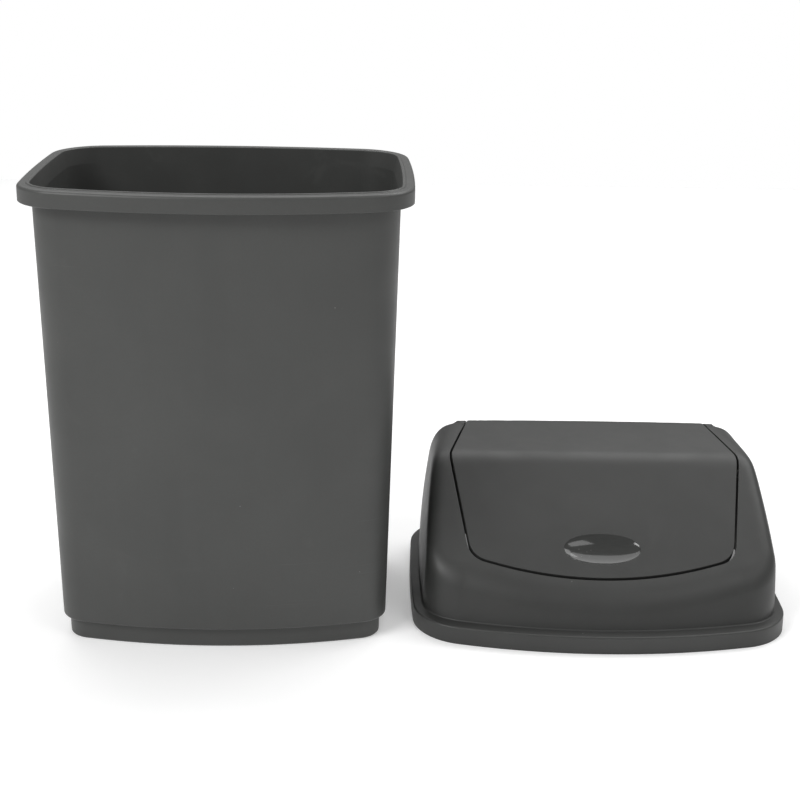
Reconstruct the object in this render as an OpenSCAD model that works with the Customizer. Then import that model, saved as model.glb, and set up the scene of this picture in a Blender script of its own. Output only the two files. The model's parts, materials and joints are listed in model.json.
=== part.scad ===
// Swing-lid waste bin: an open bin body, and a lid made of a hood and a swinging flap.
// The lid lies beside the body. All sizes are in millimetres. The origin is the
// centre of the body's base, +Z is up and the front faces -Y.

/* [Bin body] */
// Width over the rim
rim_w = 335; // [334:1:350]
// Depth over the rim, front to back
rim_d = 263; // [255:1:270]
// Height from the base to the top of the rim
bin_h = 413; // [380:1:440]
// How far the front bulges, from the ends to the middle
front_bow = 27; // [22:1:32]
// How far the back bulges
rear_bow = 15; // [12:1:20]
// How far each side bulges
side_bow = 5; // [3:1:8]
// Plan radius of the front corners at the rim
front_corner_r = 46.5; // [40:0.5:50]
// Plan radius of the back corners at the rim
rear_corner_r = 50; // [46:0.5:54]
// Height of the skirt that hangs from the rim
skirt_h = 15; // [10:1:20]
// Wall thickness of every moulding
wall = 2.2; // [1.8:0.1:2.6]
// Step from the rim's edge in to the body, just under the rim
body_inset = 11.4; // [10:0.1:13]
// Taper of each wall over the body's height
body_taper = 8.4; // [6:0.2:10]
// How far the walls flare out at the ends, behind the rim's skirt
lip_flare = 3; // [1:0.5:4]
// Height of the foot ring that the body stands on
foot_h = 18; // [14:1:22]

/* [Lid hood] */
// How far the lid's skirt stands out past the rim
overhang = 7.5; // [7:0.5:9]
// Height of the lid's skirt, up to its ledge
ledge_h = 16.5; // [14:0.5:20]
// Width of the ledge between the skirt and the wall, at the front and back
ledge_w = 12.5; // [11:0.5:14]
// Width of the ledge at the ends
end_ledge_w = 9; // [8:0.5:9.5]
// Height of the roof at its fold
fold_h = 135.5; // [130:0.5:140]
// Distance of the fold behind the middle of the lid
fold_y = 9; // [6:0.5:12]
// Slope of the roof in front of the fold, in degrees
front_angle = 36; // [34:0.5:37]
// Slope of the roof behind the fold, in degrees
top_angle = 6; // [4:0.5:8]
// Distance of the ridge behind the middle of the lid
ridge_y = 90; // [86:1:94]
// Slope of the roof behind the ridge, in degrees
back_angle = 52; // [48:1:55]

/* [Swing flap] */
// Half of the opening's width at the fold
open_half_w = 139; // [136:0.5:139]
// Distance of the opening's front edge in front of the middle
open_front = 100.5; // [98:0.5:102]
// Distance of the opening's back edge behind the middle
open_back = 109; // [104:0.5:112]
// Gap between the flap and the edge of the opening
gap = 1.8; // [1.6:0.1:2.4]
// Depth of the turned-down edges of the flap and the opening
lip_h = 7; // [5:0.5:8]
// Depth of the pivot axis below the fold
pivot_drop = 14.5; // [14:0.5:16]
// Distance of the pivot axis behind the middle, under the flap's centre of mass
pivot_y = 3.3; // [3:0.1:5]
// Radius of the flap's pivot pins
pin_r = 3.5; // [3:0.1:3.8]
// Width of the finger dimple, across the flap
dimple_w = 71; // [64:1:76]
// Length of the finger dimple, along the slope
dimple_l = 34; // [30:1:38]
// Depth of the finger dimple
dimple_depth = 5.5; // [4:0.5:7]

/* [Place of the lid] */
// Distance of the lid's middle to the right of the body's middle
lid_x = 347.6; // [347:0.1:380]
// Distance of the lid's middle behind the body's middle
lid_y = 18.4; // [0:0.1:30]
// Turn of the lid on the floor, in degrees
lid_turn = -1.1; // [-2:0.1:2]

/* [Hidden] */
SIDE_STEPS = 5;
CORNER_STEPS = 6;
END_STEPS = 8;

// ---- Plan outline: bowed ends and sides joined by round corners ----
function bow_radius(half, rise) = (half * half + rise * rise) / (2 * rise);
half_w = rim_w / 2;
half_d = rim_d / 2;
side_r = bow_radius(half_d, side_bow);
side_centre = [half_w - side_r, 0];
function heading(v) = atan2(v[1], v[0]);

// A station is a place on the outline: arc centre, arc radius and outward direction.
function station(c, r, a) = [c, r, [cos(a), sin(a)]];
function mirrored(s, m) = [[s[0][0] * m[0], s[0][1] * m[1]], s[1], [s[2][0] * m[0], s[2][1] * m[1]]];
function arc(c, r, start, stop, steps) =
    [for (i = [0 : steps - 1]) station(c, r, start + (stop - start) * i / steps)];
// A quarter with a bow that rises by a given amount and a corner of radius r.
// The corner's centre lies where both bows, shrunk by the corner's radius, cross.
function quarter(bow, r) =
    let (end_r = bow_radius(half_w, bow), end_centre = [0, half_d - end_r])
    let (apart = norm(side_centre - end_centre), toward = (side_centre - end_centre) / apart)
    let (along = (pow(end_r - r, 2) - pow(side_r - r, 2) + apart * apart) / (2 * apart))
    let (across = sqrt(pow(end_r - r, 2) - along * along))
    let (c = end_centre + along * toward + across * [toward[1], -toward[0]])
    let (side_stop = heading(c - side_centre), corner_stop = heading(c - end_centre))
    concat(
        arc(side_centre, side_r, 0, side_stop, SIDE_STEPS),
        arc(c, r, side_stop, corner_stop, CORNER_STEPS),
        arc(end_centre, end_r, corner_stop, 90, END_STEPS),
        [station(end_centre, end_r, 90)]);
front_quarter = quarter(front_bow, front_corner_r);
rear_quarter = quarter(rear_bow, rear_corner_r);
LAST = len(rear_quarter) - 1;
stations = concat(
    rear_quarter,
    [for (i = [LAST - 1 : -1 : 0]) mirrored(rear_quarter[i], [-1, 1])],
    [for (i = [1 : LAST]) mirrored(front_quarter[i], [-1, -1])],
    [for (i = [LAST - 1 : -1 : 1]) mirrored(front_quarter[i], [1, -1])]);
// The point of a station that lies a given distance inside the outline.
function inside(s, inset) = s[0] + (s[1] - inset) * s[2];
function at_height(p, z) = [p[0], p[1], z];
// A share of a value that is all of it at the ends and none of it at the front and back.
function at_ends(s, value) = value * pow(s[2][0], 2);
function ring(inset, z, flare = 0) = [for (s = stations) at_height(inside(s, inset - at_ends(s, flare)), z)];

// ---- Skin through a list of rings ----
// With a first and a last point the ends are closed there, without them the rings form a loop.
module skin(rings, ends = []) {
    n = len(rings[0]);
    m = len(rings);
    looped = len(ends) == 0;
    points = concat([for (r = rings) each r], ends);
    bands = looped ? m : m - 1;
    // Each four-sided patch is split along a diagonal that mirrors from quarter to quarter.
    sides = [for (j = [0 : bands - 1], i = [0 : n - 1], k = [0, 1])
        let (a = j * n + i, b = j * n + (i + 1) % n, up = ((j + 1) % m) * n, c = up + i, d = up + (i + 1) % n)
        floor(4 * i / n) % 2 == 0
            ? (k == 0 ? [a, c, b] : [b, c, d])
            : (k == 0 ? [a, c, d] : [a, d, b])];
    start = looped ? [] : [for (i = [0 : n - 1]) [i, (i + 1) % n, n * m]];
    stop = looped ? [] : [for (i = [0 : n - 1]) [(m - 1) * n + (i + 1) % n, (m - 1) * n + i, n * m + 1]];
    polyhedron(points, concat(sides, start, stop));
}

// ---- Bin body ----
foot_inset = body_inset + body_taper + 5.5;
floor_t = 3;
function body_wall(z) = body_inset + body_taper * (1 - z / bin_h);
// Rows of inset, height and flare.
body_profile = [
    [foot_inset + 1.2, 0, 0],
    [foot_inset, 1.2, 0],
    [foot_inset - 0.4, foot_h - 1, 0],
    [foot_inset - 1.4, foot_h + 0.6, 0],
    [body_wall(foot_h) + 1.4, foot_h + 1, 0],
    [body_wall(foot_h) + 0.3, foot_h + 2.4, 0],
    [body_wall(foot_h + 5), foot_h + 5, 0],
    [body_wall(bin_h - skirt_h), bin_h - skirt_h, 0],
    [body_inset, bin_h - wall, lip_flare],
    [wall, bin_h - wall, 0],
    [wall, bin_h - skirt_h, 0],
    [0, bin_h - skirt_h, 0],
    [0, bin_h - 2, 0],
    [0.6, bin_h - 0.6, 0],
    [2, bin_h, 0],
    [body_inset + wall - 1, bin_h, lip_flare],
    [body_inset + wall, bin_h - 1, lip_flare],
    [body_wall(bin_h - skirt_h) + wall, bin_h - skirt_h, 0],
    [body_wall(foot_h) + wall, foot_h + 5, 0],
    [foot_inset + wall, foot_h - 2, 0],
    [foot_inset + wall + 0.6, floor_t, 0]];

module bin_body() {
    color("dimgray")
        skin([for (p = body_profile) ring(p[0], p[1], p[2])], [[0, 0, 0], [0, 0, floor_t]]);
}

// ---- Roof of the lid: three slopes blended at the fold and the ridge ----
fold_blend = 5;
ridge_blend = 9;
// The ridge runs forward by this much at its ends, where it is half its width from the middle.
ridge_rise = 2;
ridge_half_w = 125;
ridge_bow = ridge_rise / pow(ridge_half_w, 2);
function soft_min(a, b, w) = min(a, b) - pow(max(w - abs(a - b), 0), 2) / (4 * w);
function roof(p) =
    let (front = fold_h + tan(front_angle) * (p[1] - fold_y))
    let (top = fold_h + tan(top_angle) * (p[1] - fold_y))
    let (ridge_h = fold_h + tan(top_angle) * (ridge_y - fold_y))
    let (back = ridge_h - tan(back_angle) * (p[1] + ridge_bow * p[0] * p[0] - ridge_y))
    soft_min(soft_min(front, top, fold_blend), back, ridge_blend);
function on_roof(p, drop = 0) = at_height(p, roof(p) - drop);

// ---- Outline of the opening, as a distance from the middle of the fold ----
front_taper = 0.19;
back_taper = 0.26;
front_curve = 0.00125;
back_curve = 0.0008;
kink_blend = 3;
corner_blend = 14;
fold_centre = [0, fold_y];
function bow_reach(side, forward, curve, far) =
    2 * far / max(forward + sqrt(forward * forward + 4 * curve * side * side * far), 0.02);
function open_reach(u, grow) =
    let (side = abs(u[0]))
    let (by_front_side = (open_half_w + grow) / max(side - front_taper * u[1], 0.1))
    let (by_back_side = (open_half_w + grow) / max(side + back_taper * u[1], 0.1))
    let (by_front = bow_reach(side, -u[1], front_curve, open_front + fold_y + grow))
    let (by_back = bow_reach(side, u[1], back_curve, open_back - fold_y + grow))
    soft_min(soft_min(by_front_side, by_back_side, kink_blend), soft_min(by_front, by_back, 1), corner_blend);
function open_point(s, grow) =
    let (v = inside(s, 0) - fold_centre, u = v / norm(v))
    fold_centre + open_reach(u, grow) * u;
// Both turned-down edges lean along the path that the flap's front edge swings on.
function lip_lean(y) = 0.6 * max(fold_y - y, 0) / (open_front + fold_y);
function lip_foot(p) = [p[0], p[1] + lip_h * lip_lean(p[1]), roof(p) - lip_h];

// ---- Lid hood ----
end_draft = 0.02;
front_draft = 0.30;
back_draft = 0.04;
// How far the walls at the ends curve in over this height, on top of their draft.
end_curve = 6.63;
curve_h = 100;
end_fillet = 14;
front_fillet = 13;
back_fillet = 7;
// How much the rounded edge grows behind the fold, over this length.
fillet_growth = 16;
growth_l = 80;
roof_t = 2.6;
fillet_steps = 4;
// A value that goes from the ends' to the front's or the back's with a station's direction.
function by_side(s, end, front, back) = at_ends(s, end) + (s[2][1] < 0 ? front : back) * pow(s[2][1], 2);
function wall_inset(s, z) =
    by_side(s, end_ledge_w, ledge_w, ledge_w) - overhang
    + by_side(s, end_draft, front_draft, back_draft) * (z - ledge_h)
    + at_ends(s, end_curve) * pow((z - ledge_h) / curve_h, 2);
function hood_wall(s, z) = inside(s, wall_inset(s, z));
// Height at which the wall would meet the roof, found by averaging wall and roof over and over.
function eave(s, z = 60, turns = 24) = turns == 0 ? z : eave(s, (z + roof(hood_wall(s, z))) / 2, turns - 1);
function growth(s) = let (t = max(min((inside(s, 0)[1] - fold_y) / growth_l, 1), 0)) t * t * (3 - 2 * t);
function fillet(s) =
    by_side(s, end_fillet, front_fillet, back_fillet) + fillet_growth * growth(s) * abs(s[2][0]);
function fillet_top(s, z) = on_roof(inside(s, wall_inset(s, z) + fillet(s)));
// A point on the rounded edge between wall (t = 0) and roof (t = 1), sunk by a thickness.
function fillet_point(s, z, t, sink) =
    let (low = at_height(hood_wall(s, z - fillet(s)), z - fillet(s)))
    let (knee = at_height(hood_wall(s, z), z))
    let (p = (1 - t) * (1 - t) * low + 2 * t * (1 - t) * knee + t * t * fillet_top(s, z))
    [p[0] - (1 - t) * sink * s[2][0], p[1] - (1 - t) * sink * s[2][1], p[2] - t * roof_t * sink / wall];

eaves = [for (s = stations) eave(s)];
indices = [for (i = [0 : len(stations) - 1]) i];
function hood_ring(inset, z) = ring(inset - overhang, z);
function wall_ring(z, sink, raise = 0) = [for (s = stations)
    at_height(hood_wall(s, z) - sink * s[2], z + raise)];
function fillet_ring(t, sink) = [for (i = indices) fillet_point(stations[i], eaves[i], t, sink)];
function mid_wall_ring(sink) = [for (i = indices)
    let (s = stations[i], z = (ledge_h + eaves[i] - fillet(s)) / 2)
    at_height(hood_wall(s, z) - sink * s[2], z)];
// Halfway between the rounded edge and the edge of the opening.
brim_ring = [for (i = indices)
    let (p = fillet_top(stations[i], eaves[i]), q = open_point(stations[i], gap / 2))
    on_roof([(p[0] + q[0]) / 2, (p[1] + q[1]) / 2])];
hood_rings = concat(
    [hood_ring(0, 0), hood_ring(0.3, ledge_h - 2), hood_ring(1.5, ledge_h - 0.2)],
    [wall_ring(ledge_h, -1.2, 0.3), wall_ring(ledge_h + 1.6, 0), mid_wall_ring(0)],
    [for (k = [0 : fillet_steps]) fillet_ring(k / fillet_steps, 0)],
    [brim_ring, [for (s = stations) on_roof(open_point(s, gap / 2))]],
    [[for (s = stations) lip_foot(open_point(s, gap / 2))]],
    [[for (s = stations) lip_foot(open_point(s, gap / 2 + wall))]],
    [[for (s = stations) on_roof(open_point(s, gap / 2 + wall), roof_t)]],
    [for (k = [fillet_steps : -1 : 0]) fillet_ring(k / fillet_steps, wall)],
    [mid_wall_ring(wall), wall_ring(ledge_h - 1.5, wall)],
    [hood_ring(wall + 0.4, ledge_h - wall), hood_ring(wall, ledge_h - wall - 1.5), hood_ring(wall, 0)]);

// ---- Pivot: pins on the flap run in bosses under the hood's cheeks ----
pivot_h = fold_h - pivot_drop;
boss_x = open_half_w + gap / 2 + 0.4;
boss_l = 6;
boss_r = 6.5;
ear_x = open_half_w - gap / 2 - 5.2;
ear_l = 3.4;
ear_r = 6;
bore_clear = 0.08;
// How far a web reaches from the axis towards the front slope, ending inside its skin.
web_reach = (roof([0, pivot_y]) - pivot_h) * cos(front_angle) - 1.3;
module along_x(x, r, l) {
    translate([x, pivot_y, pivot_h])
        rotate([0, 90, 0])
            cylinder(r = r, h = l, $fn = 48);
}
module web(x, r, l) {
    translate([x, pivot_y, pivot_h])
        rotate([front_angle, 0, 0])
            translate([0, -r, 0])
                cube([l, 2 * r, web_reach]);
}
module both_sides() {
    children();
    mirror([1, 0, 0]) children();
}
module at_lid() {
    translate([lid_x, lid_y, 0]) rotate([0, 0, lid_turn]) children();
}

// Small ribs inside the skirt that centre the lid on the rim.
rib_stations = [0, 15, 23, 38, 53, 61];
rib_t = 1.6;
rib_play = 0.7;
module centring_rib(s) {
    p = inside(s, wall - overhang - 0.5);
    translate([p[0], p[1], 3])
        rotate([0, 0, heading(s[2])])
            translate([wall + rib_play - overhang - 0.5, -rib_t / 2, 0])
                cube([overhang - wall - rib_play + 0.5, rib_t, ledge_h - wall - 2.6]);
}

module lid_hood() {
    color("dimgray") at_lid() difference() {
        union() {
            skin(hood_rings);
            both_sides() {
                along_x(boss_x, boss_r, boss_l);
                web(boss_x, boss_r, boss_l);
            }
            for (i = rib_stations) centring_rib(stations[i]);
        }
        both_sides() along_x(boss_x - 3, pin_r + bore_clear, boss_l + 4);
    }
}

// ---- Swing flap ----
proud = 0.5;
flap_t = 2.4;
dimple_y = -75;
dimple_half = [dimple_w / 2, dimple_l / 2, dimple_depth];
flap_steps = [0.06, 0.2, 0.4, 0.58, 0.72, 0.84, 0.93];
function flap_point(s, scale, drop) =
    let (q = open_point(s, -gap / 2)) on_roof(fold_centre + scale * (q - fold_centre), drop - proud);
function flap_edge(grow, drop) = [for (s = stations) on_roof(open_point(s, -gap / 2 - grow), drop - proud)];
flap_rings = concat(
    [for (f = flap_steps) [for (s = stations) flap_point(s, f, flap_t)]],
    [flap_edge(wall, flap_t)],
    [[for (s = stations) lip_foot(open_point(s, -gap / 2 - wall))]],
    [[for (s = stations) lip_foot(open_point(s, -gap / 2))]],
    [flap_edge(0, 0.8), flap_edge(1, 0)],
    [for (k = [len(flap_steps) - 1 : -1 : 0]) [for (s = stations) flap_point(s, flap_steps[k], 0)]]);

// Half an ellipsoid with these half sizes, flat side up, its rim raised by a given height.
module bowl(half, raise) {
    rings = [for (a = [75 : -15 : 0]) [for (b = [0 : 10 : 350])
        [cos(a) * cos(b) * half[0], cos(a) * sin(b) * half[1], -sin(a) * half[2]]]];
    rim = [for (p = rings[len(rings) - 1]) [p[0], p[1], raise]];
    skin(concat(rings, [rim]), [[0, 0, -half[2]], [0, 0, raise]]);
}
module at_dimple() {
    translate([0, dimple_y, roof([0, dimple_y]) + proud]) rotate([front_angle, 0, 0]) children();
}

module swing_flap() {
    color("dimgray") at_lid() {
        difference() {
            union() {
                skin(flap_rings, [on_roof(fold_centre, flap_t - proud), on_roof(fold_centre, -proud)]);
                at_dimple() translate([0, 0, -1]) bowl(dimple_half + [wall, wall, wall - 1], 0.5);
            }
            at_dimple() bowl(dimple_half, 1);
        }
        both_sides() {
            along_x(ear_x, ear_r, ear_l);
            web(ear_x, ear_r, ear_l);
            along_x(ear_x, pin_r, boss_x + boss_l - ear_x - 0.8);
        }
    }
}

bin_body();
lid_hood();
swing_flap();
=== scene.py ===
"""Swing-lid waste bin: smooth meshes of its body, hood and flap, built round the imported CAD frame."""

import json
import math

import bmesh
import bpy
import numpy as np
from mathutils import Matrix, Vector


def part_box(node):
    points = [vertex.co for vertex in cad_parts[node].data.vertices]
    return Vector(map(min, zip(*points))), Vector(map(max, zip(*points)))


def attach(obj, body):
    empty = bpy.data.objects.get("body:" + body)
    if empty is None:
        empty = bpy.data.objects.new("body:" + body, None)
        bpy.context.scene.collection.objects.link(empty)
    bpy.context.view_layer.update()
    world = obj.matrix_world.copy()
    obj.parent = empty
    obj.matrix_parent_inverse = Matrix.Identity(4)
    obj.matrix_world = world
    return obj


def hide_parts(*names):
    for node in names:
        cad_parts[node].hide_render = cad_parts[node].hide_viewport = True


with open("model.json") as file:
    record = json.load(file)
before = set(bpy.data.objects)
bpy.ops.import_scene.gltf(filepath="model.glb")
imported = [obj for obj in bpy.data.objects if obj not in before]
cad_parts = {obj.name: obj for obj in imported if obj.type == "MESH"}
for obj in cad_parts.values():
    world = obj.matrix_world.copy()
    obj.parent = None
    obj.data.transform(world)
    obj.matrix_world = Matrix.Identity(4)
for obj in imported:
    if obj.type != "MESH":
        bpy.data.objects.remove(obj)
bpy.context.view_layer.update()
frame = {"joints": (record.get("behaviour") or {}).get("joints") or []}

# ---- Measures of the part, in millimetres ----
MM = 0.001
BODY_LOW, BODY_HIGH = (np.array(corner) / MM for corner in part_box("bin_body"))
RIM_W, RIM_D, BIN_H = (round(float(side), 3) for side in BODY_HIGH - BODY_LOW)
FRONT_BOW, REAR_BOW, SIDE_BOW = 27, 15, 5
FRONT_CORNER_R, REAR_CORNER_R, LIP_FLARE = 46.5, 50, 3
SKIRT_H, WALL, BODY_INSET, BODY_TAPER, FOOT_H, FLOOR_T = 15, 2.2, 11.4, 8.4, 18, 3
FOOT_INSET = BODY_INSET + BODY_TAPER + 5.5
OVERHANG, LEDGE_H, LEDGE_W, END_LEDGE_W = 7.5, 16.5, 12.5, 9
FOLD_H, FOLD_Y, RIDGE_Y = 135.5, 9, 90
FRONT_SLOPE, TOP_SLOPE, BACK_SLOPE = (math.tan(math.radians(a)) for a in (36, 6, 52))
SLOPE_ANGLE = math.radians(36)
FOLD_BLEND, RIDGE_BLEND, RIDGE_BOW = 5, 9, 2 / 125**2
OPEN_HALF_W, OPEN_FRONT, OPEN_BACK, GAP, LIP_H = 139, 100.5, 109, 1.8, 7
FRONT_TAPER, BACK_TAPER, FRONT_CURVE, BACK_CURVE = 0.19, 0.26, 0.00125, 0.0008
KINK_BLEND, CORNER_BLEND = 3, 14
END_DRAFT, FRONT_DRAFT, BACK_DRAFT = 0.02, 0.30, 0.04
END_CURVE, CURVE_H = 6.63, 100
END_FILLET, FRONT_FILLET, BACK_FILLET = 14, 13, 7
FILLET_GROWTH, GROWTH_L = 16, 80
ROOF_T, FLAP_T, PROUD = 2.6, 2.4, 0.5
PIVOT_Y, PIVOT_H, PIN_R, BORE_R = 3.3, 121, 3.5, 3.58
BOSS_X, BOSS_L, BOSS_R = OPEN_HALF_W + GAP / 2 + 0.4, 6, 6.5
EAR_X, EAR_L, EAR_R = OPEN_HALF_W - GAP / 2 - 5.2, 3.4, 6
WEB_REACH = 7.1
DIMPLE_Y, DIMPLE_HALF, DIMPLE_DEPTH = -75, np.array([35.5, 17.0]), 5.5
RIB_PLACES, RIB_T, RIB_PLAY = (0, 15, 23, 38, 53, 61), 1.6, 0.7
FOLD_CENTRE = np.array([0, FOLD_Y])
# The body's underside lies this far above the ground, inside its foot ring.
RECESS_H = 1.2

# ---- Meshes ----
# Steps of a quarter of the outline along the side, the corner and the front or back.
OUTLINE_STEPS = 12, 18, 26
# The ribs stand at stations of this coarser outline.
RIB_OUTLINE_STEPS = 5, 6, 8
TURNED_STEPS = 48
UNDER_STEPS, UPPER_STEPS = 30, 48
SHARP_ANGLE = math.radians(48)
FLAT_FACE_WEIGHT = 80

# ---- Looks ----
BIN_GREY, HOOD_GREY, FLAP_GREY, DIMPLE_GREY = 0.048, 0.031, 0.029, 0.035
PLASTIC_IOR = 1.49

# ---- Studio, in metres, radians and watts ----
CAMERA_PLACE, CAMERA_LENS, SENSOR_WIDTH = (0.1112, -1.3460, 0.6457), 68.85, 36
CAMERA_PITCH, CAMERA_YAW, CAMERA_ROLL = 0.3200, -0.0355, 0.0186
WORLD_LIGHT, BACKDROP_LIGHT, PAPER_GLOW = 0.35, 1.0, 0.22
PAPER_SIDE, PAPER_BACK = 9.0, 2.2
LIGHTS_AIM = (0.2, 0, 0.15)
# Name, place, width, height and power of each softbox.
SOFTBOXES = (
    ("key", (-1.5, -1.5, 2.0), 1.3, 1.0, 42),
    ("window", (1.7, -1.5, 2.3), 1.3, 0.9, 10.5),
    ("side", (1.9, 0.7, 2.0), 1.2, 1.0, 13),
    ("top", (0.2, 1.3, 2.5), 3.4, 2.2, 52),
)


# ---- Plan outline: bowed ends and sides joined by round corners ----
class Outline:
    """Stations round the rim: arc centres, arc radii and outward directions."""

    def __init__(self, *steps):
        front = self.quarter(FRONT_BOW, FRONT_CORNER_R, *steps)
        rear = self.quarter(REAR_BOW, REAR_CORNER_R, *steps)
        parts = [rear, rear[-2::-1] * (-1, 1, 1, -1, 1), front[1:] * (-1, -1, 1, -1, -1)]
        parts.append(front[-2:0:-1] * (1, -1, 1, 1, -1))
        every = np.concatenate(parts)
        self.centre, self.radius, self.out = every[:, :2], every[:, 2], every[:, 3:]

    @staticmethod
    def quarter(bow, corner_r, side_steps, corner_steps, end_steps):
        """Rows of arc centre, radius and direction for a quarter with this bow and corner radius."""
        half = np.array([RIM_W, RIM_D]) / 2
        end_r, side_r = bow_radius(half[0], bow), bow_radius(half[1], SIDE_BOW)
        end_c, side_c = np.array([0, half[1] - end_r]), np.array([half[0] - side_r, 0])
        apart = np.linalg.norm(side_c - end_c)
        toward = (side_c - end_c) / apart
        near, far = end_r - corner_r, side_r - corner_r
        along = (near**2 - far**2 + apart**2) / (2 * apart)
        across = math.sqrt(near**2 - along**2)
        corner_c = end_c + along * toward + across * np.array([toward[1], -toward[0]])
        side_stop, corner_stop = heading(corner_c - side_c), heading(corner_c - end_c)
        rows = arc_rows(side_c, side_r, 0, side_stop, side_steps)
        rows += arc_rows(corner_c, corner_r, side_stop, corner_stop, corner_steps)
        rows += arc_rows(end_c, end_r, corner_stop, math.pi / 2, end_steps)
        rows.append((*end_c, end_r, 0, 1))
        return np.array(rows)

    def inside(self, inset):
        """Plan points that lie an inset, one number or one a station, inside the rim."""
        return self.centre + (self.radius - inset)[:, None] * self.out

    def ring(self, inset, z):
        return at_height(self.inside(inset), z)


def bow_radius(half, rise):
    return (half * half + rise * rise) / (2 * rise)


def heading(v):
    return math.atan2(v[1], v[0])


def arc_rows(centre, radius, start, stop, steps):
    angles = [start + (stop - start) * i / steps for i in range(steps)]
    return [(*centre, radius, math.cos(a), math.sin(a)) for a in angles]


def at_height(plan, z):
    return np.column_stack([plan, np.broadcast_to(np.asarray(z, float), len(plan))])


# ---- Profiles: rings of points, with round corners between them ----
def round_corner(before, corner, after, radius, steps):
    """Rings that round a corner with an arc of the radius, or a smaller one where the sides are short."""
    a, b = before - corner, after - corner
    long_a, long_b = (np.linalg.norm(v, axis=1, keepdims=True) for v in (a, b))
    a, b = a / long_a, b / long_b
    half_angle = np.arccos(np.clip((a * b).sum(1, keepdims=True), -1, 1)) / 2
    reach = np.minimum(radius / np.tan(half_angle), 0.46 * np.minimum(long_a, long_b))
    first, last, weight = corner + reach * a, corner + reach * b, np.sin(half_angle)
    rings = []
    for u in np.linspace(0, 1, steps + 1):
        ends, middle = ((1 - u) ** 2, u**2), 2 * u * (1 - u) * weight
        rings.append((ends[0] * first + middle * corner + ends[1] * last) / (sum(ends) + middle))
    return rings


def rounded(corners, looped=False):
    """Rings and their wear along a profile of (ring, radius, wear).

    Radius 0 keeps the ring. A wear above 0 marks an outer edge, where handling has polished the plastic."""
    rings, wears = [], []
    for i, (ring, radius, wear) in enumerate(corners):
        if radius == 0 or (not looped and i in (0, len(corners) - 1)):
            rings.append(ring)
            wears.append(wear)
            continue
        steps = 3 if radius < 0.7 else 5 if radius < 2 else 8
        before, after = corners[i - 1][0], corners[(i + 1) % len(corners)][0]
        made = round_corner(before, ring, after, radius, steps)
        rings += made
        wears += [wear * math.sin(math.pi * k / steps) for k in range(len(made))]
    return rings, wears


class Shell:
    """Points, faces, wear and materials of one moulding, gathered piece by piece."""

    def __init__(self):
        self.points, self.faces, self.wear, self.slots = [], [], [], []

    def add(self, points, faces, wear=0.0, slot=0):
        start = sum(len(p) for p in self.points)
        self.points.append(np.asarray(points, float))
        self.faces += [[start + i for i in face] for face in faces]
        self.wear.append(np.broadcast_to(np.asarray(wear, float), len(points)))
        slots = slot if isinstance(slot, list) else [slot] * len(faces)
        self.slots += slots

    def skin(self, rings, wears, ends=(), slot_of_ring=None):
        """A skin through the rings. With a first and a last point it is closed, without them it loops."""
        n, m = len(rings[0]), len(rings)
        points = np.concatenate([*rings, np.array(ends).reshape(-1, 3)])
        bands = m - 1 if len(ends) else m
        faces, slots = [], []
        for j in range(bands):
            low, high = j * n, ((j + 1) % m) * n
            faces += [(low + i, low + (i + 1) % n, high + (i + 1) % n, high + i) for i in range(n)]
            slots += [slot_of_ring(j) if slot_of_ring else 0] * n
        if len(ends):
            faces += [((i + 1) % n, i, n * m) for i in range(n)]
            faces += [((m - 1) * n + i, (m - 1) * n + (i + 1) % n, n * m + 1) for i in range(n)]
            slots += [slots[0]] * n + [slots[-1]] * n
        self.add(points, faces, np.concatenate([np.repeat(wears, n), np.zeros(len(ends))]), slots)

    def build(self, name, materials, body, node, place=None):
        points = np.concatenate(self.points)
        if place is not None:
            points = points @ place[0].T + place[1]
        mesh = bpy.data.meshes.new(name)
        mesh.from_pydata((points * MM).tolist(), [], self.faces)
        for material in materials:
            mesh.materials.append(material)
        mesh.polygons.foreach_set("material_index", self.slots)
        attribute = mesh.attributes.new("wear", "FLOAT", "POINT")
        attribute.data.foreach_set("value", np.concatenate(self.wear).astype(np.float32))
        bm = bmesh.new()
        bm.from_mesh(mesh)
        bmesh.ops.recalc_face_normals(bm, faces=bm.faces)
        bm.to_mesh(mesh)
        bm.free()
        mesh.shade_smooth()
        mesh.set_sharp_from_angle(angle=SHARP_ANGLE)
        piece = bpy.data.objects.new(name, mesh)
        bpy.context.scene.collection.objects.link(piece)
        normals = piece.modifiers.new("flat faces stay flat", "WEIGHTED_NORMAL")
        normals.keep_sharp = True
        normals.weight = FLAT_FACE_WEIGHT
        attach(piece, body)
        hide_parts(node)
        return piece


def between(first, last, steps):
    """Steps - 1 rings that lead straight from one ring to another, neither of them included."""
    return [first + (last - first) * k / steps for k in range(1, steps)]


def plain(rings, wear=0.0):
    return [(ring, 0, wear) for ring in rings]


# ---- Bin body ----
def body_wall(z):
    return BODY_INSET + BODY_TAPER * (1 - z / BIN_H)


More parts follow.
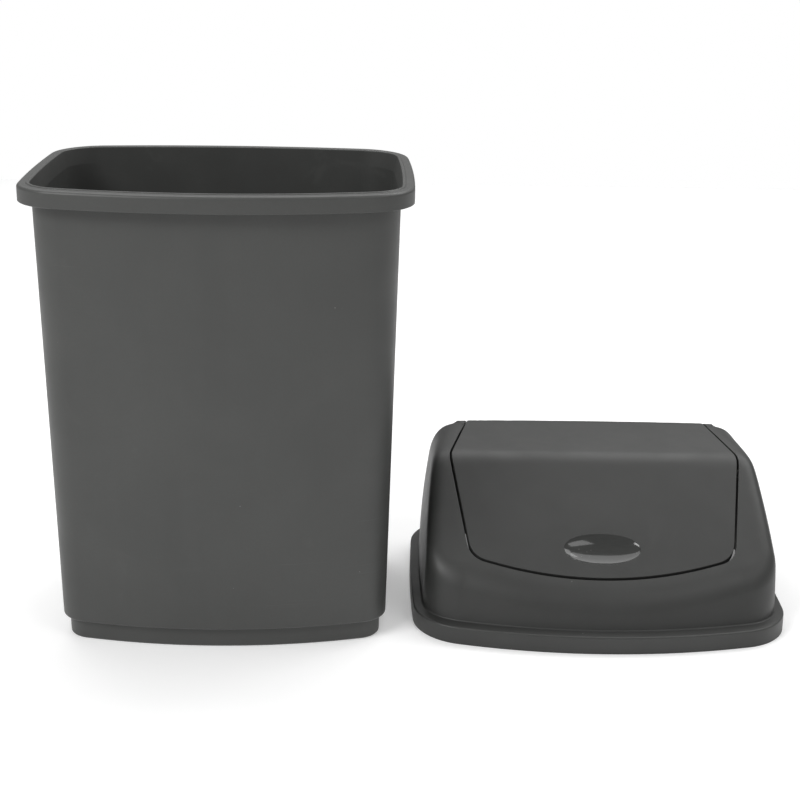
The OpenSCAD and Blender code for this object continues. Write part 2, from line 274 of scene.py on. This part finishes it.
def bin_corners(o):
    """Corners of the body's wall: from the recess up the outside, over the rim and down the inside."""
    step_z, turn_z, top, flare_z = FOOT_H + 0.9, FOOT_H + 5, BIN_H, BIN_H - SKIRT_H
    flare = LIP_FLARE * o.out[:, 0] ** 2
    inner_turn = body_wall(FOOT_H) + WALL
    outer = [
        (FOOT_INSET + 11, RECESS_H, 0, 0),
        (FOOT_INSET + 8, RECESS_H, 0.8, 0),
        (FOOT_INSET + 7, 0, 0.8, 0.5),
        (FOOT_INSET, 0, 2.0, 1),
        (FOOT_INSET - 0.5, step_z - 0.2, 1.2, 0),
        (body_wall(step_z), step_z, 3.4, 0.6),
    ]
    rim = [
        (BODY_INSET - flare, top - WALL, 1.6, 0),
        (WALL, top - WALL, 1.0, 0),
        (WALL, top - SKIRT_H, 0.6, 0.4),
        (0, top - SKIRT_H, 0.7, 0.8),
        (0, top - 0.3, 3.0, 0.5),
        (10.4 - flare, top - 0.9, 0.8, 0),
        (11.3 - flare, top, 0.7, 0.4),
        (BODY_INSET + WALL - flare, top, 1.0, 1),
        (BODY_INSET + WALL + 0.3, flare_z, 6, 0),
    ]
    inner = [
        (inner_turn, turn_z, 8, 0),
        (FOOT_INSET + WALL, FOOT_H - 3, 5, 0),
        (FOOT_INSET + WALL + 0.6, FLOOR_T, 5, 0),
        (FOOT_INSET + WALL + 14, FLOOR_T, 0, 0),
    ]
    rows = [(o.ring(inset, z), radius, wear) for inset, z, radius, wear in outer]
    low, high = o.ring(body_wall(turn_z), turn_z), o.ring(body_wall(flare_z), flare_z)
    rows += plain([low, *between(low, high, 16)]) + [(high, 6, 0)]
    rows += [(o.ring(inset, z), radius, wear) for inset, z, radius, wear in rim]
    high, low = o.ring(BODY_INSET + WALL + 0.6, flare_z - 12), o.ring(inner_turn - 0.3, turn_z + 9)
    rows += plain([high, *between(high, low, 16), low])
    return rows + [(o.ring(inset, z), radius, wear) for inset, z, radius, wear in inner]


def disc_rings(edge, z):
    """Flat rings at height z that shrink from an edge ring towards the middle."""
    return [at_height(edge[:, :2] * share, z) for share in (0.8, 0.6, 0.4, 0.2, 0.08)]


def make_bin(outline, material):
    shell = Shell()
    rings, wears = rounded(bin_corners(outline))
    under = disc_rings(rings[0], RECESS_H)[::-1]
    floor = disc_rings(rings[-1], FLOOR_T)
    wears = [0] * len(under) + wears + [0] * len(floor)
    shell.skin(under + rings + floor, wears, [(0, 0, RECESS_H), (0, 0, FLOOR_T)])
    return shell.build("bin_body_moulding", [material], "bin", "bin_body")


# ---- Roof of the lid and outline of its opening ----
def soft_min(a, b, width):
    return np.minimum(a, b) - np.maximum(width - np.abs(a - b), 0) ** 2 / (4 * width)


def roof(p):
    x, y = p[:, 0], p[:, 1]
    ridge_h = FOLD_H + TOP_SLOPE * (RIDGE_Y - FOLD_Y)
    front = FOLD_H + FRONT_SLOPE * (y - FOLD_Y)
    top = FOLD_H + TOP_SLOPE * (y - FOLD_Y)
    back = ridge_h - BACK_SLOPE * (y + RIDGE_BOW * x * x - RIDGE_Y)
    return soft_min(soft_min(front, top, FOLD_BLEND), back, RIDGE_BLEND)


def on_roof(p, drop=0.0):
    return at_height(p, roof(p) - drop)


def bow_reach(side, forward, curve, far):
    root = np.sqrt(forward * forward + 4 * curve * side * side * far)
    return 2 * far / np.maximum(forward + root, 0.02)


def open_point(o, grow):
    """Plan points of the opening's edge, grown outwards by a distance."""
    v = o.inside(0) - FOLD_CENTRE
    u = v / np.linalg.norm(v, axis=1, keepdims=True)
    side, ahead = np.abs(u[:, 0]), u[:, 1]
    front_side = (OPEN_HALF_W + grow) / np.maximum(side - FRONT_TAPER * ahead, 0.1)
    back_side = (OPEN_HALF_W + grow) / np.maximum(side + BACK_TAPER * ahead, 0.1)
    front = bow_reach(side, -ahead, FRONT_CURVE, OPEN_FRONT + FOLD_Y + grow)
    back = bow_reach(side, ahead, BACK_CURVE, OPEN_BACK - FOLD_Y + grow)
    sides = soft_min(front_side, back_side, KINK_BLEND)
    reach = soft_min(sides, soft_min(front, back, 1), CORNER_BLEND)
    return FOLD_CENTRE + reach[:, None] * u


def lip_foot(p):
    """Foot of a turned-down edge, which leans along the path that the flap's front edge swings on."""
    lean = 0.6 * np.maximum(FOLD_Y - p[:, 1], 0) / (OPEN_FRONT + FOLD_Y)
    return np.column_stack([p[:, 0], p[:, 1] + LIP_H * lean, roof(p) - LIP_H])


# ---- Lid hood ----
def by_side(o, side, front, back):
    """A value a station that goes from the ends' to the front's or the back's with its direction."""
    across, along = o.out[:, 0] ** 2, o.out[:, 1] ** 2
    return side * across + np.where(o.out[:, 1] < 0, front, back) * along


class HoodWalls:
    """The hood's leaning wall and the rounded edge between it and the roof."""

    def __init__(self, o):
        self.o = o
        self.ledge = by_side(o, END_LEDGE_W, LEDGE_W, LEDGE_W)
        self.draft = by_side(o, END_DRAFT, FRONT_DRAFT, BACK_DRAFT)
        self.curve = END_CURVE * o.out[:, 0] ** 2
        behind = np.clip((o.inside(0)[:, 1] - FOLD_Y) / GROWTH_L, 0, 1)
        growth = behind**2 * (3 - 2 * behind) * np.abs(o.out[:, 0])
        self.fillet = by_side(o, END_FILLET, FRONT_FILLET, BACK_FILLET) + FILLET_GROWTH * growth
        self.eave = np.full(len(o.radius), 60.0)
        for _ in range(24):
            self.eave = (self.eave + roof(self.at(self.eave)[:, :2])) / 2
        self.top = on_roof(o.inside(self.inset(self.eave) + self.fillet))

    def inset(self, z):
        up = z - LEDGE_H
        return self.ledge - OVERHANG + self.draft * up + self.curve * (up / CURVE_H) ** 2

    def at(self, z, sink=0.0):
        return self.o.ring(self.inset(z) + sink, z)

    def edge(self, t, sink):
        """A ring on the rounded edge, from the wall (t = 0) to the roof (t = 1), sunk by a thickness."""
        low, knee = self.at(self.eave - self.fillet), self.at(self.eave)
        p = (1 - t) ** 2 * low + 2 * t * (1 - t) * knee + t**2 * self.top
        inward = np.column_stack([self.o.out, np.zeros(len(p))]) * (1 - t) * sink
        return p - inward - np.array([0, 0, t * ROOF_T * sink / WALL])

    def edges(self, steps, sink):
        return [self.edge(k / steps, sink) for k in range(steps + 1)]


def hood_corners(o):
    """Corners of the hood's section: up the outside, round the opening's lip and back down inside."""
    walls = HoodWalls(o)
    skirt = [(0.06, 0, 0.6, 0.7), (0.3, LEDGE_H, 1.7, 0.8)]
    rows = [(o.ring(inset - OVERHANG, z), radius, wear) for inset, z, radius, wear in skirt]
    rows.append((walls.at(LEDGE_H + 0.55), 1.6, 0))
    foot, bend = LEDGE_H + 4.0, walls.eave - walls.fillet
    rows += plain([walls.at(foot + (bend - foot) * k / 10) for k in range(10)])
    rows += plain(walls.edges(14, 0))
    mouth = on_roof(open_point(o, GAP / 2))
    brim = [on_roof(p[:, :2]) for p in between(walls.top, mouth, 6)]
    rows += plain(brim)
    rows.append((mouth, 0.7, 0.8))
    rows.append((lip_foot(open_point(o, GAP / 2)), 0.6, 0))
    rows.append((lip_foot(open_point(o, GAP / 2 + WALL)), 0.6, 0))
    rows.append((on_roof(open_point(o, GAP / 2 + WALL), ROOF_T), 1.0, 0))
    rows += plain(walls.edges(8, WALL)[::-1])
    rows += plain([walls.at(bend - 3 + (LEDGE_H + 5 - bend) * k / 10, WALL) for k in range(11)])
    rows.append((walls.at(LEDGE_H - 1.6, WALL), 1.6, 0))
    rows.append((o.ring(WALL - OVERHANG + 0.2, LEDGE_H - WALL), 1.0, 0))
    rows.append((o.ring(WALL - OVERHANG, 0), 0.5, 0))
    return rows


# ---- Small moulded features ----
def turned(x, profile):
    """Rings of a profile of (distance along X, radius) that is turned round the pivot axis from x on."""
    angles = np.linspace(0, 2 * math.pi, TURNED_STEPS, endpoint=False)
    circle = np.column_stack([np.zeros(TURNED_STEPS), np.cos(angles), np.sin(angles)])
    return [(x, PIVOT_Y, PIVOT_H) + circle * r + (along, 0, 0) for along, r in profile]


def bushing(shell, x, profile):
    """A turned ring with a closed profile."""
    rings = turned(x, profile)
    shell.skin(rings, [0.0] * len(rings))


def pin(shell, x, profile):
    """A turned pin whose profile is open and closed by its two ends."""
    rings = turned(x, profile)
    ends = [(x + along, PIVOT_Y, PIVOT_H) for along in (profile[0][0], profile[-1][0])]
    shell.skin(rings, [0.3] * len(rings), ends)


def prism(outline, thickness, bevel=0.35):
    """Points and faces of a plate with small rounded edges: an outline in X and Z, thick along Y."""
    bm = bmesh.new()
    sides = [[bm.verts.new((x, y, z)) for x, z in outline] for y in (-thickness / 2, thickness / 2)]
    bm.faces.new(sides[0])
    bm.faces.new(sides[1][::-1])
    for i in range(len(outline)):
        j = (i + 1) % len(outline)
        bm.faces.new((sides[0][j], sides[0][i], sides[1][i], sides[1][j]))
    bmesh.ops.bevel(bm, geom=bm.edges, offset=bevel, segments=2, profile=0.5, affect="EDGES")
    bm.verts.index_update()
    points = np.array([v.co for v in bm.verts])
    faces = [[v.index for v in face.verts] for face in bm.faces]
    bm.free()
    return points, faces


def mirrored(shell, add):
    """Runs add for the right side on a shell of its own, and adds the result twice, once mirrored."""
    side = Shell()
    add(side)
    points, wear = np.concatenate(side.points), np.concatenate(side.wear)
    for flip in (1, -1):
        shell.add(points * (flip, 1, 1), side.faces, wear)


def web(shell, x, radius, length, foot=0.0):
    """A plate that ties a boss or an ear to the front slope, from its foot above the axis upwards."""
    shape = [(-radius, foot), (radius, foot), (radius * 0.86, WEB_REACH), (-radius * 0.86, WEB_REACH)]
    points, faces = prism(shape, length)
    c, s = math.cos(SLOPE_ANGLE), math.sin(SLOPE_ANGLE)
    along, up = points[:, 0], points[:, 2]
    placed = np.column_stack([points[:, 1] + x + length / 2, along * c - up * s, along * s + up * c])
    shell.add(placed + (0, PIVOT_Y, PIVOT_H), faces)


def boss(shell):
    """A bored boss under the hood's cheek, with a lead-in chamfer for the flap's pin."""
    end, edge = BOSS_L, 0.5
    profile = [(0, BORE_R + edge), (0, BOSS_R - edge), (edge, BOSS_R), (end - edge, BOSS_R)]
    profile += [(end, BOSS_R - edge), (end, BORE_R + edge), (end - edge, BORE_R), (edge, BORE_R)]
    bushing(shell, BOSS_X, profile)
    web(shell, BOSS_X + 0.3, BOSS_R - 0.3, BOSS_L - 0.6, BORE_R + 0.7)


def ear(shell):
    """An ear under the flap with the stub pin that runs in the hood's boss."""
    reach, edge = BOSS_X + BOSS_L - EAR_X - 0.8, 0.5
    profile = [(0, 1.5), (0, EAR_R - edge), (edge, EAR_R), (EAR_L - edge, EAR_R), (EAR_L, EAR_R - edge)]
    profile += [(EAR_L, PIN_R + 0.3), (EAR_L + 0.3, PIN_R), (reach - 0.7, PIN_R), (reach, PIN_R - 0.7)]
    pin(shell, EAR_X, [*profile, (reach, 1.2)])
    web(shell, EAR_X + 0.2, EAR_R - 0.3, EAR_L - 0.4)


def add_ribs(shell):
    """Small ribs inside the skirt, with a slanted lead-in, that centre the lid on the rim."""
    coarse = Outline(*RIB_OUTLINE_STEPS)
    spots = coarse.inside(WALL - OVERHANG - 0.5)
    deep, low, high = OVERHANG - WALL - RIB_PLAY + 0.5, 3.0, LEDGE_H - WALL + 0.4
    shape = [(0, low), (-deep * 0.35, low), (-deep, low + 3.5), (-deep, high), (0, high)]
    points, faces = prism(shape, RIB_T, 0.25)
    for i in RIB_PLACES:
        out = coarse.out[i]
        plan = spots[i] + points[:, :1] * out + points[:, 1:2] * np.array([-out[1], out[0]])
        shell.add(np.column_stack([plan, points[:, 2]]), faces)


def lid_place():
    """Turn and shift, in millimetres, that take the lid to where the flap's hinge says it lies."""
    hinge = next(j for j in frame["joints"] if j["name"] == "flap_swing")
    angle = math.atan2(hinge["axis"][1], hinge["axis"][0])
    c, s = math.cos(angle), math.sin(angle)
    turn = np.array([[c, -s, 0], [s, c, 0], [0, 0, 1]])
    pivot = np.array(hinge["pos_m"]) / MM
    return turn, pivot - turn @ np.array([0, PIVOT_Y, PIVOT_H])


def make_hood(outline, material, place):
    shell = Shell()
    shell.skin(*rounded(hood_corners(outline), looped=True))
    mirrored(shell, boss)
    add_ribs(shell)
    return shell.build("lid_hood_moulding", [material], "hood", "lid_hood", place)


# ---- Swing flap ----
def on_slope(across, along, depth):
    """Points in the plane of the front slope round the dimple, sunk at right angles to it by a depth."""
    c, s = math.cos(SLOPE_ANGLE), math.sin(SLOPE_ANGLE)
    base = roof(np.array([[0.0, DIMPLE_Y]]))[0] + PROUD
    y, z = DIMPLE_Y + along * c + depth * s, base + along * s - depth * c
    return np.column_stack([across, y, z])


def dish(angles, half, depth, rim_depth, shares, power):
    """Rings of an oval dish, from the given shares of its half sizes: the middle is deepest."""
    rings = []
    for share in shares:
        sunk = rim_depth + (depth - rim_depth) * (1 - share**2) ** power
        rings.append(on_slope(share * half[0] * np.cos(angles), share * half[1] * np.sin(angles), sunk))
    return rings


def flap_rings(o):
    """Rings from under the dimple's middle, round the turned-down edge, to the dimple's middle."""
    edge, inner = open_point(o, -GAP / 2), open_point(o, -GAP / 2 - WALL)
    flat = edge - (0, DIMPLE_Y)
    foreshortened = DIMPLE_HALF[1] * math.cos(SLOPE_ANGLE)
    angles = np.arctan2(flat[:, 1] / foreshortened, flat[:, 0] / DIMPLE_HALF[0])
    shares = [math.sin(a) for a in np.linspace(0.08, math.pi / 2, 14)]
    skin_depth = FLAP_T * math.cos(SLOPE_ANGLE)
    bulge = dish(angles, DIMPLE_HALF + WALL, DIMPLE_DEPTH + WALL, skin_depth, shares, 0.6)
    under_edge = on_roof(inner, FLAP_T - PROUD)
    below = [on_roof(p[:, :2], FLAP_T - PROUD) for p in between(bulge[-1], under_edge, UNDER_STEPS)]
    rows = plain(bulge[:-1]) + [(bulge[-1], 1.5, 0)] + plain(below) + [(under_edge, 1.0, 0)]
    rows.append((lip_foot(inner), 0.5, 0))
    rows.append((lip_foot(edge), 0.5, 0.2))
    rows.append((on_roof(edge, -PROUD), 0.9, 0.8))
    bowl = dish(angles, DIMPLE_HALF, DIMPLE_DEPTH, 0.0, shares, 0.75)
    upper_edge = on_roof(edge, -PROUD)
    above = [on_roof(p[:, :2], -PROUD) for p in between(upper_edge, bowl[-1], UPPER_STEPS)]
    rows += plain(above) + [(bowl[-1], 0.5, 0.5)] + plain(bowl[-2::-1])
    rings, wears = rounded(rows)
    return rings, wears, len(bowl) - 1


def make_flap(outline, plastic_material, polished_material, place):
    shell = Shell()
    rings, wears, bowl_count = flap_rings(outline)
    first_of_bowl = len(rings) - bowl_count - 2
    ends = [rings[0].mean(0), rings[-1].mean(0)]
    shell.skin(rings, wears, ends, lambda j: int(j >= first_of_bowl))
    mirrored(shell, ear)
    materials = [plastic_material, polished_material]
    return shell.build("swing_flap_moulding", materials, "flap", "swing_flap", place)


# ---- Materials ----
class Nodes:
    """Short calls for the nodes of one material."""

    def __init__(self, name):
        self.material = bpy.data.materials.new(name)
        self.material.use_nodes = True
        self.tree = self.material.node_tree
        self.shader = self.tree.nodes["Principled BSDF"]
        self.coords = self.tree.nodes.new("ShaderNodeTexCoord").outputs["Object"]

    def put(self, value, socket):
        if isinstance(value, bpy.types.NodeSocket):
            self.tree.links.new(value, socket)
        else:
            socket.default_value = value

    def stretched(self, scale, shift=(0, 0, 0), turn=(0, 0, 0)):
        node = self.tree.nodes.new("ShaderNodeMapping")
        self.tree.links.new(self.coords, node.inputs["Vector"])
        node.inputs["Scale"].default_value = scale
        node.inputs["Location"].default_value = shift
        node.inputs["Rotation"].default_value = turn
        return node.outputs["Vector"]

    def noise(self, scale, detail=2.0, rough=0.5, vector=None, bend=0.0):
        node = self.tree.nodes.new("ShaderNodeTexNoise")
        self.put(vector if vector is not None else self.coords, node.inputs["Vector"])
        settings = {"Scale": scale, "Detail": detail, "Roughness": rough, "Distortion": bend}
        for key, value in settings.items():
            node.inputs[key].default_value = value
        return node.outputs["Fac"]

    def cells(self, scale):
        node = self.tree.nodes.new("ShaderNodeTexVoronoi")
        self.put(self.coords, node.inputs["Vector"])
        node.inputs["Scale"].default_value = scale
        return node.outputs["Distance"]

    def span(self, value, low, high, to_low=0.0, to_high=1.0):
        node = self.tree.nodes.new("ShaderNodeMapRange")
        node.interpolation_type = "SMOOTHSTEP"
        ends = {"From Min": low, "From Max": high, "To Min": to_low, "To Max": to_high}
        for key, item in {"Value": value, **ends}.items():
            self.put(item, node.inputs[key])
        return node.outputs["Result"]

    def math(self, kind, a, b=0.0):
        node = self.tree.nodes.new("ShaderNodeMath")
        node.operation = kind
        self.put(a, node.inputs[0])
        self.put(b, node.inputs[1])
        return node.outputs["Value"]

    def mix_colours(self, share, a, b):
        node = self.tree.nodes.new("ShaderNodeMix")
        node.data_type = "RGBA"
        self.put(share, node.inputs[0])
        self.put(a, node.inputs[6])
        self.put(b, node.inputs[7])
        return node.outputs[2]

    def attribute(self, name):
        node = self.tree.nodes.new("ShaderNodeAttribute")
        node.attribute_name = name
        return node.outputs["Fac"]

    def bump(self, height, distance, strength=1.0, under=None):
        node = self.tree.nodes.new("ShaderNodeBump")
        node.inputs["Strength"].default_value = strength
        node.inputs["Distance"].default_value = distance
        self.put(height, node.inputs["Height"])
        if under is not None:
            self.put(under, node.inputs["Normal"])
        return node.outputs["Normal"]


def grey(value, warmth=0.0):
    """A dark plastic grey, a touch green, as a colour with alpha."""
    return (value * (0.985 + warmth), value * 1.01, value * (0.965 - warmth), 1.0)


def plastic_marks(n, place, shift):
    """Where smudges, hairlines, dust and worn edges lie, each as a share from 0 to 1."""
    smudge = n.span(n.noise(17, 5, 0.62, place, 1.4), 0.6, 0.72)
    fine_lines = n.noise(1, 2, 0.5, n.stretched((9, 9, 1500), shift, (0.5, 0.9, 0.3)))
    scratched = n.span(n.noise(6, 2, 0.5, place), 0.5, 0.62)
    hairline = n.math("MULTIPLY", n.span(fine_lines, 0.72, 0.76), scratched)
    specks = n.math("LESS_THAN", n.cells(70), 0.035)
    dust = n.math("MULTIPLY", specks, n.span(n.noise(11, 2, 0.5, place), 0.56, 0.6))
    patches = n.span(n.noise(75, 4, 0.65, place), 0.3, 0.65, 0.35, 1.0)
    return smudge, hairline, dust, n.math("MULTIPLY", n.attribute("wear"), patches)


def plastic_colour(n, base, place, shift, marks):
    """Faint clouding, flow lines and mottling round the base grey, with the marks over them."""
    smudge, hairline, dust, wear = marks
    clouds = n.span(n.noise(9, 4, 0.6, place, 0.6), 0.3, 0.7)
    flow = n.span(n.noise(1, 3, 0.5, n.stretched((46, 46, 3.5), shift)), 0.35, 0.65)
    mottle = n.span(n.noise(520, 2, 0.6, place), 0.3, 0.7)
    colour = n.mix_colours(clouds, grey(base * 0.93), grey(base * 1.07, 0.004))
    layers = [
        (flow, 0.35, grey(base * 1.09)),
        (mottle, 0.3, grey(base * 0.86)),
        (smudge, 0.22, grey(base * 1.45, 0.01)),
        (hairline, 0.35, grey(base * 2.4)),
        (wear, 0.4, grey(base * 1.9)),
        (dust, 0.5, grey(0.3)),
    ]
    for share, strength, tone in layers:
        colour = n.mix_colours(n.math("MULTIPLY", share, strength), colour, tone)
    return colour


def moulded_plastic(name, base, shift):
    """Satin polypropylene with a fine spark-eroded grain, slight ripples, dust and polished edges."""
    n = Nodes(name)
    place = n.stretched((1, 1, 1), shift)
    marks = plastic_marks(n, place, shift)
    smudge, hairline, _, wear = marks
    n.put(plastic_colour(n, base, place, shift, marks), n.shader.inputs["Base Color"])
    rough = n.span(n.noise(24, 4, 0.6, place), 0.25, 0.75, 0.43, 0.52)
    rough = n.math("SUBTRACT", rough, n.math("MULTIPLY", wear, 0.1))
    rough = n.math("ADD", rough, n.math("MULTIPLY", smudge, 0.05))
    n.put(rough, n.shader.inputs["Roughness"])
    ripple = n.bump(n.noise(1, 2, 0.5, n.stretched((13, 13, 7), shift)), 0.0012)
    scratch = n.bump(hairline, 0.00003, 0.5, ripple)
    grain = n.bump(n.noise(1500, 3, 0.6, place), 0.00006, 0.55, scratch)
    n.put(grain, n.shader.inputs["Normal"])
    n.shader.inputs["IOR"].default_value = PLASTIC_IOR
    return n.material


def polished_plastic(name, base):
    """The mirror-smooth finger dimple: swirl marks, a few specks and hardly any grain."""
    n = Nodes(name)
    swirl = n.span(n.noise(1, 3, 0.6, n.stretched((70, 420, 420))), 0.35, 0.65)
    specks = n.math("LESS_THAN", n.cells(260), 0.07)
    specks = n.math("MULTIPLY", specks, n.span(n.noise(40, 2, 0.5), 0.55, 0.6))
    colour = n.mix_colours(swirl, grey(base * 0.95), grey(base * 1.05))
    colour = n.mix_colours(n.math("MULTIPLY", specks, 0.6), colour, grey(0.35))
    n.put(colour, n.shader.inputs["Base Color"])
    n.put(n.span(swirl, 0.0, 1.0, 0.07, 0.12), n.shader.inputs["Roughness"])
    n.put(n.bump(n.noise(55, 2, 0.5), 0.00012), n.shader.inputs["Normal"])
    n.shader.inputs["IOR"].default_value = PLASTIC_IOR
    return n.material


# ---- Studio ----
def floor_material():
    """White seamless paper with a faint tooth, a little lit up by light that shines through it."""
    n = Nodes("white_paper")
    tooth = n.noise(140, 4, 0.6)
    darker, lighter = (0.86, 0.86, 0.86, 1), (0.9, 0.9, 0.9, 1)
    n.put(n.mix_colours(tooth, darker, lighter), n.shader.inputs["Base Color"])
    n.put(n.span(tooth, 0.2, 0.8, 0.75, 0.85), n.shader.inputs["Roughness"])
    n.put(n.bump(tooth, 0.00005), n.shader.inputs["Normal"])
    n.shader.inputs["Specular IOR Level"].default_value = 0.2
    n.shader.inputs["Emission Color"].default_value = (1, 1, 1, 1)
    n.shader.inputs["Emission Strength"].default_value = PAPER_GLOW
    return n.material


def add_floor():
    """A wide sheet of paper on the ground that ends in front of the white backdrop."""
    mesh = bpy.data.meshes.new("studio_floor")
    front = [(-PAPER_SIDE, -PAPER_SIDE, 0), (PAPER_SIDE, -PAPER_SIDE, 0)]
    corners = [*front, (PAPER_SIDE, PAPER_BACK, 0), (-PAPER_SIDE, PAPER_BACK, 0)]
    mesh.from_pydata(corners, [], [(0, 1, 2, 3)])
    mesh.materials.append(floor_material())
    floor = bpy.data.objects.new("studio_floor", mesh)
    bpy.context.scene.collection.objects.link(floor)


def add_softbox(name, place, width, height, watts):
    """A rectangular area light that points at the object."""
    light = bpy.data.lights.new(name, "AREA")
    light.shape, light.size, light.size_y, light.energy = "RECTANGLE", width, height, watts
    box = bpy.data.objects.new(name, light)
    box.location = place
    box.rotation_mode = "QUATERNION"
    box.rotation_quaternion = (Vector(LIGHTS_AIM) - Vector(place)).to_track_quat("-Z", "Y")
    bpy.context.scene.collection.objects.link(box)


def add_world():
    """Dim even light from all round, in front of a white backdrop."""
    world = bpy.data.worlds.new("studio")
    world.use_nodes = True
    tree = world.node_tree
    lit = tree.nodes["Background"]
    lit.inputs["Color"].default_value = (1, 1, 1, 1)
    lit.inputs["Strength"].default_value = WORLD_LIGHT
    seen = tree.nodes.new("ShaderNodeBackground")
    seen.inputs["Color"].default_value = (1, 1, 1, 1)
    seen.inputs["Strength"].default_value = BACKDROP_LIGHT
    mix = tree.nodes.new("ShaderNodeMixShader")
    path = tree.nodes.new("ShaderNodeLightPath")
    tree.links.new(path.outputs["Is Camera Ray"], mix.inputs[0])
    tree.links.new(lit.outputs[0], mix.inputs[1])
    tree.links.new(seen.outputs[0], mix.inputs[2])
    tree.links.new(mix.outputs[0], tree.nodes["World Output"].inputs["Surface"])
    bpy.context.scene.world = world


def add_camera():
    """From the front, 18 degrees down, turned a little to the right and tilted by one degree."""
    angles = CAMERA_YAW, CAMERA_PITCH, CAMERA_ROLL
    cy, sy, cp, sp, cr, sr = (f(a) for a in angles for f in (math.cos, math.sin))
    ahead = Vector((-sy * cp, cy * cp, -sp))
    level, above = Vector((cy, sy, 0)), Vector((-sy * sp, cy * sp, cp))
    right, up = cr * level + sr * above, cr * above - sr * level
    data = bpy.data.cameras.new("camera")
    data.lens, data.sensor_width = CAMERA_LENS, SENSOR_WIDTH
    camera = bpy.data.objects.new("camera", data)
    turn = Matrix((right, up, -ahead)).transposed().to_4x4()
    camera.matrix_world = Matrix.Translation(CAMERA_PLACE) @ turn
    bpy.context.scene.collection.objects.link(camera)
    bpy.context.scene.camera = camera


def add_studio():
    add_floor()
    add_world()
    for softbox in SOFTBOXES:
        add_softbox(*softbox)
    bpy.context.scene.view_settings.view_transform = "Standard"


# ---- The object ----
def make_object():
    """The three mouldings. Each plastic's texture is shifted, so that no two pieces show the same marks."""
    outline, place = Outline(*OUTLINE_STEPS), lid_place()
    bin_plastic = moulded_plastic("bin_satin_plastic", BIN_GREY, (0, 0, 0))
    hood_plastic = moulded_plastic("hood_satin_plastic", HOOD_GREY, (3.1, 1.7, 0.4))
    flap_plastic = moulded_plastic("flap_satin_plastic", FLAP_GREY, (5.3, 2.9, 1.1))
    polished = polished_plastic("dimple_polished_plastic", DIMPLE_GREY)
    make_bin(outline, bin_plastic)
    make_hood(outline, hood_plastic, place)
    make_flap(outline, flap_plastic, polished, place)


make_object()
add_studio()
add_camera()
